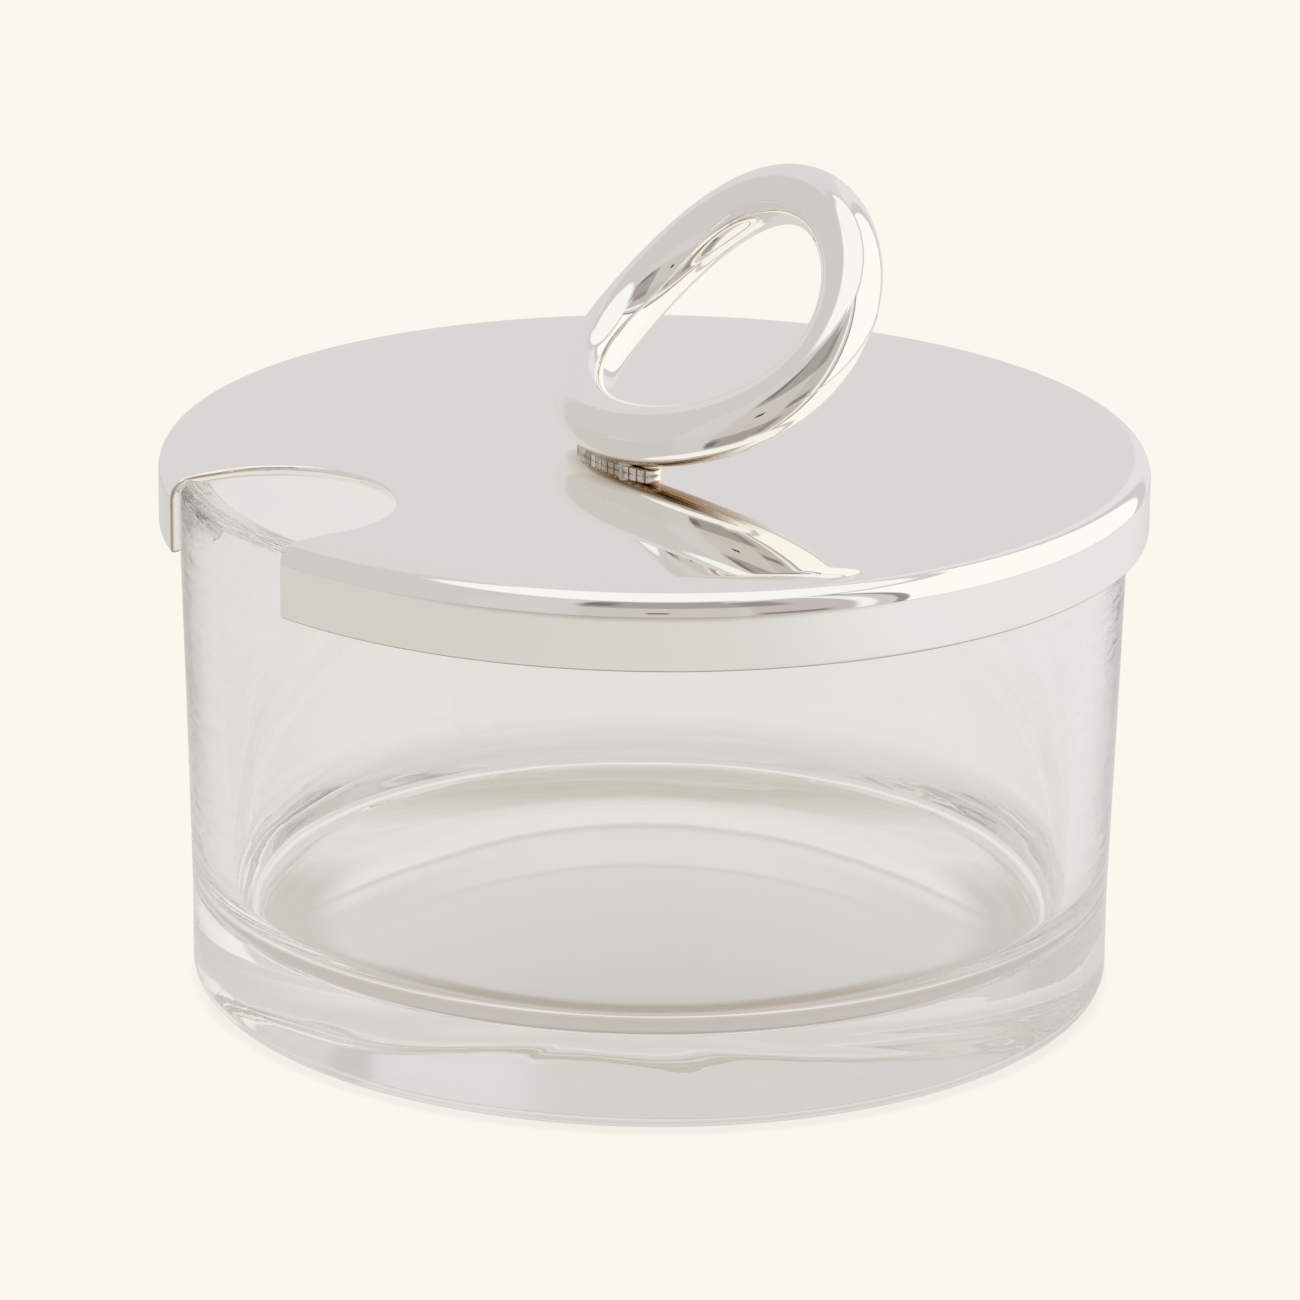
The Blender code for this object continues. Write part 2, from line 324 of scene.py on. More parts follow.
def noise(nodes, links, vector, scale, detail=3.0, roughness=0.5):
    node = nodes.new("ShaderNodeTexNoise")
    node.inputs["Scale"].default_value = scale
    node.inputs["Detail"].default_value = detail
    node.inputs["Roughness"].default_value = roughness
    links.new(vector, node.inputs["Vector"])
    return node.outputs["Fac"]


def ramp(nodes, links, value, stops):
    """A colour ramp through (position, colour) stops."""
    node = nodes.new("ShaderNodeValToRGB")
    elements = node.color_ramp.elements
    while len(elements) < len(stops):
        elements.new(0.5)
    for element, (position, colour) in zip(elements, stops):
        element.position = position
        element.color = (*colour, 1.0)
    links.new(value, node.inputs["Fac"])
    return node.outputs["Color"]


def stretch_noise(nodes, links, value, low, high):
    """The middle part of a noise stretched over the range from low to high."""
    node = nodes.new("ShaderNodeMapRange")
    node.inputs["From Min"].default_value = 0.3
    node.inputs["From Max"].default_value = 0.7
    node.inputs["To Min"].default_value = low
    node.inputs["To Max"].default_value = high
    links.new(value, node.inputs["Value"])
    return node.outputs["Result"]


def map_between(nodes, links, value, low, high):
    """0 at the low value and 1 at the high one, held outside them."""
    node = nodes.new("ShaderNodeMapRange")
    node.inputs["From Min"].default_value = low
    node.inputs["From Max"].default_value = high
    links.new(value, node.inputs["Value"])
    return node.outputs["Result"]


def math_node(nodes, links, operation, first, second=None):
    node = nodes.new("ShaderNodeMath")
    node.operation = operation
    for socket, value in zip(node.inputs, (first, second)):
        if value is None:
            continue
        if isinstance(value, (int, float)):
            socket.default_value = value
        else:
            links.new(value, socket)
    return node.outputs[0]


def band(nodes, links, value, low, high, edge):
    """1 between the two values, falling to 0 over the edge's width on either side."""
    rise = map_between(nodes, links, value, low - edge, low)
    fall = map_between(nodes, links, value, high + edge, high)
    return math_node(nodes, links, "MULTIPLY", rise, fall)


def soft_range(nodes, links, value, low_high, edge):
    """1 inside the range, 0 outside it, with a soft edge."""
    low, high = low_high
    away = math_node(nodes, links, "SUBTRACT", value, (low + high) / 2)
    away = math_node(nodes, links, "ABSOLUTE", away)
    node = nodes.new("ShaderNodeMapRange")
    node.interpolation_type = "SMOOTHSTEP"
    node.inputs["From Min"].default_value = (high - low) / 2 + edge / 2
    node.inputs["From Max"].default_value = (high - low) / 2 - edge / 2
    links.new(away, node.inputs["Value"])
    return node.outputs["Result"]


def mix_colour(nodes, links, share, first, second, blend="MIX"):
    node = nodes.new("ShaderNodeMix")
    node.data_type = "RGBA"
    node.blend_type = blend
    if isinstance(share, (int, float)):
        node.inputs["Factor"].default_value = share
    else:
        links.new(share, node.inputs["Factor"])
    for socket, value in ((node.inputs[6], first), (node.inputs[7], second)):
        if isinstance(value, tuple):
            socket.default_value = (*value, 1.0)
        else:
            links.new(value, socket)
    return node.outputs[2]


def distance_from_axis(nodes, links, place):
    length = nodes.new("ShaderNodeVectorMath")
    length.operation = "LENGTH"
    links.new(place, length.inputs[0])
    return length.outputs["Value"]


def object_coordinates(nodes):
    return nodes.new("ShaderNodeTexCoord").outputs["Object"]


def add_bump(nodes, links, shader, height, strength, distance):
    node = nodes.new("ShaderNodeBump")
    node.inputs["Strength"].default_value = strength
    node.inputs["Distance"].default_value = distance
    links.new(height, node.inputs["Height"])
    links.new(node.outputs["Normal"], shader.inputs["Normal"])


def silver_tone(tint):
    return tuple(share * part for share, part in zip(SILVER, tint))


def make_silver(name, painted_light=None, brown=PAINTED_EDGE_BROWN):
    """Polished silver plate: a cool to warm cast, a few dull patches and faint polishing ripples.

    The mask function passed second gives where the plate is painted brown, such as painted shade in a
    crevice and painted reflection lines along an edge.
    """
    material, nodes, links, shader = new_material(name)
    place = object_coordinates(nodes)
    shader.inputs["Metallic"].default_value = 1.0
    cast = noise(nodes, links, place, 38.0, 4.0)
    stops = [(0.35, silver_tone((0.997, 1.0, 1.008))), (0.68, silver_tone((1.003, 1.0, 0.992)))]
    colour = ramp(nodes, links, cast, stops)
    if painted_light is not None:
        where = painted_light(nodes, links, place)
        colour = mix_colour(nodes, links, where, colour, brown)
    links.new(colour, shader.inputs["Base Color"])
    dull = noise(nodes, links, place, 900.0, 6.0, 0.6)
    links.new(stretch_noise(nodes, links, dull, 0.012, 0.03), shader.inputs["Roughness"])
    waves = noise(nodes, links, place, 140.0, 2.0)
    add_bump(nodes, links, shader, waves, SILVER_RIPPLE, RIPPLE_HEIGHT)
    return material


def cap_painted_edge_lines(nodes, links, place):
    """Painted reflection lines in brown along the notch's upper edge and on the skirt's cut ends, and a
    painted dark line along the skirt's lower edge.
    """
    turned = nodes.new("ShaderNodeVectorRotate")
    turned.rotation_type = "Z_AXIS"
    turned.inputs["Angle"].default_value = -NOTCH_DIRECTION
    links.new(place, turned.inputs["Vector"])
    split = nodes.new("ShaderNodeSeparateXYZ")
    links.new(turned.outputs[0], split.inputs[0])
    along = math_node(nodes, links, "SUBTRACT", split.outputs[0], NOTCH_ROUND_CENTRE)
    along = math_node(nodes, links, "MINIMUM", along, 0.0)
    along = math_node(nodes, links, "MULTIPLY", along, along)
    across = math_node(nodes, links, "MULTIPLY", split.outputs[1], split.outputs[1])
    away = math_node(nodes, links, "ADD", along, across)
    away = math_node(nodes, links, "SQRT", away)
    height = split.outputs[2]
    near, far = NOTCH_HALF_WIDTH + 0.1 * MM, NOTCH_HALF_WIDTH + 0.2 * MM
    close = map_between(nodes, links, away, far, near)
    upper = band(nodes, links, height, CAP_TOP + CUT_LINE_LOW, CAP_TOP + CUT_LINE_HIGH, 0.08 * MM)
    upper = math_node(nodes, links, "MULTIPLY", upper, close)
    outward = map_between(nodes, links, split.outputs[0], CUT_LINE_START, CUT_LINE_FULL)
    upper = math_node(nodes, links, "MULTIPLY", upper, outward)
    low, high = NOTCH_HALF_WIDTH + SKIRT_CUT_INNER, NOTCH_HALF_WIDTH + SKIRT_CUT_OUTER
    side = band(nodes, links, away, low, high, 0.06 * MM)
    skirt = map_between(nodes, links, split.outputs[0], SKIRT_START, SKIRT_START + 1 * MM)
    side = math_node(nodes, links, "MULTIPLY", side, skirt)
    cut = math_node(nodes, links, "MAXIMUM", upper, side)
    low, high = SKIRT_BOTTOM + LIP_LINE_LOW, SKIRT_BOTTOM + LIP_LINE_HIGH
    lip = map_between(nodes, links, height, high, low)
    lines = math_node(nodes, links, "MAXIMUM", cut, lip)
    return math_node(nodes, links, "MULTIPLY", lines, PAINTED_EDGE_DEPTH)


def ring_painted_shade(nodes, links, place):
    """Painted shade: a warm brown where the ring closes down on the cap and on its underside near the
    cap, mostly on its right.
    """
    split = nodes.new("ShaderNodeSeparateXYZ")
    links.new(place, split.inputs[0])
    height = split.outputs[2]
    crevice = map_between(nodes, links, height, CAP_TOP + CREVICE_END, CAP_TOP + CREVICE_FULL)
    facing = nodes.new("ShaderNodeSeparateXYZ")
    links.new(nodes.new("ShaderNodeNewGeometry").outputs["Normal"], facing.inputs[0])
    below = map_between(nodes, links, facing.outputs[2], FACING_DOWN_START, FACING_DOWN_FULL)
    near = map_between(nodes, links, height, CAP_TOP + UNDERSIDE_END, CAP_TOP + UNDERSIDE_FULL)
    below = math_node(nodes, links, "MULTIPLY", below, near)
    brown = math_node(nodes, links, "MAXIMUM", crevice, below)
    seat = ring_point(RING_LOWEST).x
    right = map_between(nodes, links, split.outputs[0], seat - 7 * MM, seat + 1 * MM)
    right = math_node(nodes, links, "MAXIMUM", right, LEFT_PAINTED_SHADE_SHARE)
    brown = math_node(nodes, links, "MULTIPLY", brown, right)
    return math_node(nodes, links, "MULTIPLY", brown, RING_PAINTED_SHADE_DEPTH)


def make_glass():
    """Clear thick soda glass, with the slight waves and level chill marks of pressed ware."""
    material, nodes, links, shader = new_material("clear_glass")
    place = object_coordinates(nodes)
    shader.inputs["Transmission Weight"].default_value = 1.0
    shader.inputs["IOR"].default_value = GLASS_IOR
    tint = noise(nodes, links, place, 22.0, 2.0)
    stops = [(0.3, (0.997, 0.997, 0.996)), (0.7, (0.990, 0.992, 0.991))]
    colour = ramp(nodes, links, tint, stops)
    smear = noise(nodes, links, place, 60.0, 4.0)
    links.new(stretch_noise(nodes, links, smear, 0.0, 0.005), shader.inputs["Roughness"])
    waves = noise(nodes, links, place, 55.0, 2.0)
    flatten = nodes.new("ShaderNodeVectorMath")
    flatten.operation = "MULTIPLY"
    flatten.inputs[1].default_value = (0.1, 0.1, 1.0)
    links.new(place, flatten.inputs[0])
    marks = noise(nodes, links, flatten.outputs[0], 620.0, 2.0)
    split = nodes.new("ShaderNodeSeparateXYZ")
    links.new(place, split.inputs[0])
    aside = math_node(nodes, links, "ABSOLUTE", split.outputs[0])
    wall = map_between(nodes, links, aside, CHILL_MARKS_START, CHILL_MARKS_FULL)
    streaks = ramp(nodes, links, marks, [(0.43, CHILL_MARK_TINT), (0.52, WHITE)])
    streaks = mix_colour(nodes, links, wall, WHITE, streaks)
    colour = mix_colour(nodes, links, 1.0, colour, streaks, "MULTIPLY")
    links.new(colour, shader.inputs["Base Color"])
    wall = math_node(nodes, links, "MULTIPLY", wall, CHILL_MARK_SHARE)
    height = math_node(nodes, links, "MULTIPLY", marks, wall)
    height = math_node(nodes, links, "ADD", waves, height)
    add_bump(nodes, links, shader, height, GLASS_BUMP, GLASS_BUMP_HEIGHT)
    dim = nodes.new("ShaderNodeVolumeAbsorption")
    dim.inputs["Color"].default_value = (*GLASS_ABSORBS, 1.0)
    dim.inputs["Density"].default_value = GLASS_ABSORPTION
    links.new(dim.outputs[0], nodes["Material Output"].inputs["Volume"])
    return material


def make_foot_silver(name, light, dark, rough):
    """Plate of the ribbed foot, duller than the ring's, in a light and a dark cast. Made with dark
    casts, it is the painted shade in the grooves.
    """
    material, nodes, links, shader = new_material(name)
    place = object_coordinates(nodes)
    shader.inputs["Metallic"].default_value = 1.0
    cast = noise(nodes, links, place, 520.0, 2.0)
    links.new(ramp(nodes, links, cast, [(0.44, light), (0.58, dark)]), shader.inputs["Base Color"])
    dull = noise(nodes, links, place, 1200.0, 2.0)
    links.new(stretch_noise(nodes, links, dull, rough, rough + 0.12), shader.inputs["Roughness"])
    add_bump(nodes, links, shader, dull, 0.15, RIPPLE_HEIGHT)
    return material


def make_steel():
    """Turned steel of the fixings, with a fine grain."""
    material, nodes, links, shader = new_material("screw_steel")
    place = object_coordinates(nodes)
    shader.inputs["Metallic"].default_value = 1.0
    cast = noise(nodes, links, place, 600.0, 4.0)
    stops = [(0.35, (0.55, 0.55, 0.56)), (0.65, (0.68, 0.67, 0.66))]
    links.new(ramp(nodes, links, cast, stops), shader.inputs["Base Color"])
    grain = noise(nodes, links, place, 5000.0, 3.0)
    links.new(stretch_noise(nodes, links, grain, 0.18, 0.34), shader.inputs["Roughness"])
    add_bump(nodes, links, shader, grain, 0.2, 0.01 * MM)
    return material


# ---------------------------------------------------------------- glass bowl


def bowl_wave(radius, height, angle):
    """Slight unevenness of pressed glass, always towards the inside of the solid's outer size."""
    if height <= 0.0 and radius < UNDERSIDE_RING:
        rise = 1 - (radius / UNDERSIDE_RING) ** 2
        swell = 0.5 + 0.5 * math.sin(5 * angle + 1.3) + 0.4 * math.sin(9 * angle - radius / (9 * MM))
        near_edge = 4 * rise * (1 - rise)
        return radius, UNDERSIDE_RISE * rise + UNDERSIDE_WAVE * max(swell, 0.0) * near_edge
    if radius > FLOOR_RADIUS and BASE_ROUNDING < height < RIM_HEIGHT - RIM_ROUNDING:
        share = (height - BASE_ROUNDING) / (RIM_HEIGHT - RIM_ROUNDING - BASE_ROUNDING)
        swell = 0.5 + 0.5 * math.sin(7 * angle + height / (8 * MM) + 0.8)
        return radius - WALL_WAVE * swell * min(1.0, 6 * share, 6 * (1 - share)), height
    return radius, height


def bowl_outline():
    inner_mouth = MOUTH_RADIUS - WALL
    lean = math.degrees(math.atan2(inner_mouth - FLOOR_RADIUS, RIM_HEIGHT - FLOOR_HEIGHT))
    floor_corner = FLOOR_RADIUS - FLOOR_ROUNDING
    top = RIM_HEIGHT - RIM_ROUNDING
    outline = [(0.0, UNDERSIDE_RISE)]
    outline += [(UNDERSIDE_RING * step / 20, 0.0) for step in range(1, 21)]
    outline += arc(BASE_RADIUS - BASE_ROUNDING, BASE_ROUNDING, BASE_ROUNDING, -90, 0, 12)
    for step in range(1, 5):
        outline.append((BASE_RADIUS, BASE_ROUNDING + (BASE_HEIGHT - BASE_ROUNDING) * step / 4))
    for step in range(1, 12):
        share = step / 12
        outline.append(
            (
                BASE_RADIUS + (MOUTH_RADIUS - BASE_RADIUS) * share,
                BASE_HEIGHT + (top - BASE_HEIGHT) * share,
            )
        )
    outline += arc(MOUTH_RADIUS - RIM_ROUNDING, top, RIM_ROUNDING, 0, 90, 10)
    outline += arc(inner_mouth + RIM_ROUNDING, top, RIM_ROUNDING, 90, 180, 10)
    corner = arc(floor_corner, FLOOR_HEIGHT + FLOOR_ROUNDING, FLOOR_ROUNDING, -lean, -90, 20)
    for step in range(1, 12):
        share = step / 12
        outline.append(
            (
                inner_mouth + (corner[0][0] - inner_mouth) * share,
                top + (corner[0][1] - top) * share,
            )
        )
    outline += corner
    outline += [(floor_corner * share, FLOOR_HEIGHT) for share in (0.8, 0.6, 0.4, 0.2)]
    outline.append((0.0, FLOOR_HEIGHT))
    return outline


def build_bowl(glass):
    shape = lathe(bowl_outline(), GLASS_STEPS, wave=bowl_wave)
    bowl = add_piece("bowl_glass", shape, glass, "bowl")
    return stand_for(bowl, "glass_bowl")


# ---------------------------------------------------------------- cap


def notch_angle(radius):
    """Half the angle that the notch takes out of a circle of this radius."""
    x = (radius**2 + NOTCH_ROUND_CENTRE**2 - NOTCH_HALF_WIDTH**2) / (2 * NOTCH_ROUND_CENTRE)
    if x < NOTCH_ROUND_CENTRE:
        return math.acos(x / radius)
    return math.asin(NOTCH_HALF_WIDTH / radius)


def cap_outline():
    """The cap's section from the top's flat, over the edge, round the lip and back to the underside."""
    corner = CAP_RADIUS - CAP_EDGE_ROUNDING
    start = FLAT_RADIUS + 0.8 * MM
    outline = [(FLAT_RADIUS, CAP_TOP), (start, CAP_TOP)]
    roll_steps = 10
    for step in range(1, roll_steps):
        share = step / roll_steps
        outline.append((start + (corner - start) * share, CAP_TOP - ROLL_DROP * share**2))
    end_slope = math.degrees(math.atan(2 * ROLL_DROP / (corner - start)))
    edge_centre = CAP_TOP - ROLL_DROP - CAP_EDGE_ROUNDING
    outline += arc(corner, edge_centre, CAP_EDGE_ROUNDING, 90 - end_slope, 0, 20)
    skirt_end = SKIRT_BOTTOM + LIP_ROUNDING
    for step in range(1, 6):
        outline.append((CAP_RADIUS, edge_centre + (skirt_end - edge_centre) * step / 6))
    outline += arc(CAP_RADIUS - LIP_ROUNDING, skirt_end, LIP_ROUNDING, 0, -90, 6)
    inner = CAP_RADIUS - CAP_SHEET
    outline += arc(inner + LIP_ROUNDING, skirt_end, LIP_ROUNDING, -90, -180, 6)
    inner_rounding = CAP_EDGE_ROUNDING - CAP_SHEET
    inner_centre = CAP_UNDERSIDE - inner_rounding
    for step in range(1, 6):
        outline.append((inner, skirt_end + (inner_centre - skirt_end) * step / 6))
    outline += arc(corner, inner_centre, inner_rounding, 0, 90, 10)
    outline.append((FLAT_RADIUS, CAP_UNDERSIDE))
    return outline


def build_cap(silver):
    shape = bmesh.new()
    strips = []
    for radius, height in cap_outline():
        half = notch_angle(radius)
        sweep = math.tau - 2 * half
        strip = []
        for step in range(CAP_STEPS + 1):
            angle = NOTCH_DIRECTION + half + sweep * step / CAP_STEPS
            strip.append(shape.verts.new((radius * math.cos(angle), radius * math.sin(angle), height)))
        strips.append(strip)
    for outer, inner in zip(strips, strips[1:]):
        for step in range(CAP_STEPS):
            shape.faces.new((outer[step], outer[step + 1], inner[step + 1], inner[step]))

    # The round inner end of the notch, from one side to the other, at the top and underneath
    half = notch_angle(FLAT_RADIUS)
    start = Vector((FLAT_RADIUS * math.cos(half), FLAT_RADIUS * math.sin(half)))
    first = math.atan2(start.y, start.x - NOTCH_ROUND_CENTRE)
    turn = Matrix.Rotation(NOTCH_DIRECTION, 2)
    tops, unders = [], []
    for step in range(1, NOTCH_END_STEPS):
        angle = first + (math.tau - 2 * first) * step / NOTCH_END_STEPS
        flat = Vector(
            (
                NOTCH_ROUND_CENTRE + NOTCH_HALF_WIDTH * math.cos(angle),
                NOTCH_HALF_WIDTH * math.sin(angle),
            )
        )
        flat = turn @ flat
        tops.append(shape.verts.new((*flat, CAP_TOP)))
        unders.append(shape.verts.new((*flat, CAP_UNDERSIDE)))
    tops = [strips[0][0], *tops, strips[0][-1]]
    unders = [strips[-1][0], *unders, strips[-1][-1]]
    for step in range(NOTCH_END_STEPS):
        shape.faces.new((tops[step], tops[step + 1], unders[step + 1], unders[step]))

    # The two straight sides of the notch, each one flat cut through the section
    for end in (0, -1):
        loop = [strip[end] for strip in strips]
        shape.faces.new(loop)

    # The flat top and underside
    for strip, ends, height in ((strips[0], tops, CAP_TOP), (strips[-1], unders, CAP_UNDERSIDE)):
        boundary = list(strip) + list(reversed(ends[1:-1]))
        edges = []
        for a, b in zip(boundary, boundary[1:] + boundary[:1]):
            edges.append(shape.edges.get((a, b)) or shape.edges.new((a, b)))
        bmesh.ops.triangle_fill(shape, use_beauty=True, edges=edges)

    cap = add_piece("cap", shape, silver, "lid")
    bevel = cap.modifiers.new("cut edges", "BEVEL")
    bevel.limit_method = "ANGLE"
    bevel.angle_limit = math.radians(60)
    bevel.width = NOTCH_EDGE
    bevel.segments = 5
    weighted = cap.modifiers.new("even shading", "WEIGHTED_NORMAL")
    weighted.keep_sharp = True
    return stand_for(cap, "lid_cap")


# ---------------------------------------------------------------- ring, foot and fixings


def build_ring(silver):
    shape = bmesh.new()
    normal = ring_frame()[2]
    loops = []
    for step in range(RING_STEPS):
        angle = math.tau * step / RING_STEPS
        centre = ring_point(angle)
        tangent = (ring_point(angle + SMALL_TURN) - ring_point(angle - SMALL_TURN)).normalized()
        up = (normal - normal.dot(tangent) * tangent).normalized()
        side = tangent.cross(up)
        loop = []
        for turn in range(BAR_STEPS):
            t = math.tau * turn / BAR_STEPS
            loop.append(shape.verts.new(centre + BAR_RADIUS * (math.cos(t) * side + math.sin(t) * up)))
        loops.append(loop)
    for step in range(RING_STEPS):
        here, there = loops[step], loops[(step + 1) % RING_STEPS]
        for turn in range(BAR_STEPS):
            after = (turn + 1) % BAR_STEPS
            shape.faces.new((here[turn], here[after], there[after], there[turn]))
    ring = add_piece("ring", shape, silver, "lid")
    return stand_for(ring, "ring_handle")


def build_foot(rib_silver, groove_silver, polished, ring):
    """The foot under the ring: a bent oval with a ribbed side, from the cap up to the ring."""
    radius = FOOT_WIDTH / 2
    straight = FOOT_LENGTH - FOOT_WIDTH
    girth = 2 * straight + math.tau * radius
    ribs = round(girth / RIB_PITCH)
    steps = ribs * 12
    tree = BVHTree.FromPolygons(
        [v.co.copy() for v in ring.data.vertices], [tuple(p.vertices) for p in ring.data.polygons]
    )

    def outline(distance, inset):
        """A point on the oval at a distance round it."""
        r = radius - inset
        s = distance % girth
        if s < straight:
            return Vector((s - straight / 2, -r))
        s -= straight
        if s < math.pi * radius:
            a = s / radius - math.pi / 2
            return Vector((straight / 2 + r * math.cos(a), r * math.sin(a)))
        s -= math.pi * radius
        if s < straight:
            return Vector((straight / 2 - s, r))
        s -= straight
        a = s / radius + math.pi / 2
        return Vector((-straight / 2 + r * math.cos(a), r * math.sin(a)))

    def place(flat, height):
        """The oval's long axis follows the ring, as seen from above."""
        turn = RING_LOWEST + (flat.x + FOOT_SHIFT) / RING_RADIUS
        spine = ring_point(turn)
        ahead = ring_point(turn + SMALL_TURN) - spine
        across = Vector((-ahead.y, ahead.x)).normalized() * flat.y
        return Vector((spine.x + across.x, spine.y + across.y, CAP_TOP + height))

    def roof(flat):
        """Height of the ring's underside above the cap at this spot, up to the foot's own height."""
        hit = tree.ray_cast(place(flat, 0.0), Vector((0, 0, 1)), 10 * MM)[0]
        return min(FOOT_HEIGHT, hit.z - CAP_TOP + 0.05 * MM) if hit else FOOT_HEIGHT

    def groove(step):
        """How deep the groove between two ribs is here, from 0 to 1."""
        plain = outline(girth * step / steps, 0.0)
        ribbed = min(1.0, max(0.0, (FOOT_LENGTH / 2 - POLISHED_END - plain.x) / (0.3 * MM)))
        return ribbed * (0.5 + 0.5 * math.cos(math.tau * step * ribs / steps)) ** 4

    shape = bmesh.new()
    # Levels from the cap up: share of the height, inset in millimetres, share of the rib depth
    levels = [(0.0, 0.1, 0.0), (0.1, 0.0, 1.0), (0.5, 0.0, 1.0), (0.88, 0.0, 1.0), (1.0, 0.08, 0.3)]
    rings = []
    for share, inset, ribbed in levels:
        loop = []
        for step in range(steps):
            distance = girth * step / steps
            flat = outline(distance, inset * MM + RIB_DEPTH * ribbed * groove(step))
            top = roof(outline(distance, 0.08 * MM))
            loop.append(shape.verts.new(place(flat, top * share)))
        rings.append(loop)
    spine = []
    for step in range(steps):
        flat = outline(girth * step / steps, radius * 0.6)
        spine.append(shape.verts.new(place(flat, roof(flat))))
    rings.append(spine)
    for low, high in zip(rings, rings[1:]):
        for step in range(steps):
            after = (step + 1) % steps
            face = shape.faces.new((low[step], low[after], high[after], high[step]))
            if high is spine or outline(girth * step / steps, 0).x > FOOT_LENGTH / 2 - POLISHED_END:
                face.material_index = 2
            # Faces deep in a groove take the dark plate, painted shade.
            elif groove(step) > 0.4:
                face.material_index = 1
    shape.faces.new(spine).material_index = 2
    shape.faces.new(list(reversed(rings[0])))
    foot = add_piece("foot", shape, rib_silver, "lid")
    foot.data.materials.append(groove_silver)
    foot.data.materials.append(polished)
    return stand_for(foot, "handle_foot")


def build_washer(name, node, steel):
    low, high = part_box(node)
    centre = ((low.x + high.x) / 2, (low.y + high.y) / 2)
    radius = (high.x - low.x) / 2
    bore = WASHER_BORE_RADIUS
    edge = WASHER_ROUNDING
    top = CAP_UNDERSIDE
    outline = arc(radius - edge, low.z + edge, edge, -90, 0, 4)
    outline += arc(radius - edge, top - edge, edge, 0, 90, 4)
    outline += arc(bore + edge, top - edge, edge, 90, 180, 4)
    outline += arc(bore + edge, low.z + edge, edge, 180, 270, 4)
    washer = add_piece(name, lathe(outline, 72, centre), steel, "lid")
    return stand_for(washer, node)


# ---------------------------------------------------------------- studio and camera


def stage_disc(name, radius, height, material):
    """A flat disc of the studio, which isn't part of the object."""
    shape = bmesh.new()
    bmesh.ops.create_circle(shape, cap_ends=True, segments=128, radius=radius)
    mesh = bpy.data.meshes.new(name)
    shape.to_mesh(mesh)
    shape.free()
    mesh.materials.append(material)
    disc = bpy.data.objects.new(name, mesh)
    disc.location.z = height
    bpy.context.scene.collection.objects.link(disc)
    return disc


def glowing_material(name):
    """A stage material that only glows: (material, nodes, links, colour socket)."""
    material = bpy.data.materials.new(name)
    material.use_nodes = True
    nodes, links = material.node_tree.nodes, material.node_tree.links
    nodes.clear()
    glow = nodes.new("ShaderNodeEmission")
    out = nodes.new("ShaderNodeOutputMaterial")
    links.new(glow.outputs[0], out.inputs["Surface"])
    return material, nodes, links, glow.inputs["Color"]


def under_base_colour(nodes, links, x, y, away):
    """Light and shadow on the table under the base, which the thick glass casts."""
    across = math_node(nodes, links, "MULTIPLY", x, x)
    across = math_node(nodes, links, "MULTIPLY", across, ARC_BEND)
    depth = math_node(nodes, links, "ADD", y, across)
    nearest, furthest = UNDER_BASE[0][0], UNDER_BASE[-1][0]
    share = map_between(nodes, links, depth, nearest * MM, furthest * MM)
    stops = [((at - nearest) / (furthest - nearest), linear(tone)) for at, tone in UNDER_BASE]
    colour = ramp(nodes, links, share, stops)
    side = math_node(nodes, links, "ABSOLUTE", x)
    side = map_between(nodes, links, side, UNDER_SIDES_START, UNDER_SIDES_FULL)
    inner = band(nodes, links, depth, UNDER_SIDES_NEAR, UNDER_SIDES_FAR, 2 * MM)
    side = math_node(nodes, links, "MULTIPLY", side, inner)
    colour = mix_colour(nodes, links, side, colour, linear(UNDER_SIDES))
    ring = band(nodes, links, away, SHADE_INSIDE, SHADE_OUTSIDE, SHADE_SOFTNESS)
    beside = map_between(nodes, links, y, SHADE_BESIDE_START, SHADE_BESIDE_FULL)
    beside = math_node(nodes, links, "MULTIPLY", ring, beside)
    colour = mix_colour(nodes, links, beside, colour, linear(UNDER_SIDE_RING))
    back = map_between(nodes, links, y, SHADE_BACK_START, SHADE_BACK_FULL)
    back = math_node(nodes, links, "MULTIPLY", ring, back)
    colour = mix_colour(nodes, links, back, colour, linear(UNDER_BACK_RING))
    front = map_between(nodes, links, y, SHADE_FRONT_START, SHADE_FRONT_FULL)
    line = band(nodes, links, away, FRONT_RING_INSIDE, FRONT_RING_OUTSIDE, 3 * MM)
    line = math_node(nodes, links, "MULTIPLY", line, front)
    colour = mix_colour(nodes, links, line, colour, linear(UNDER_FRONT_RING))
    edge = band(nodes, links, away, FRONT_EDGE_INSIDE, FRONT_EDGE_OUTSIDE, SHADE_SOFTNESS)
    edge = math_node(nodes, links, "MULTIPLY", edge, front)
    return mix_colour(nodes, links, edge, colour, linear(UNDER_FRONT_EDGE))


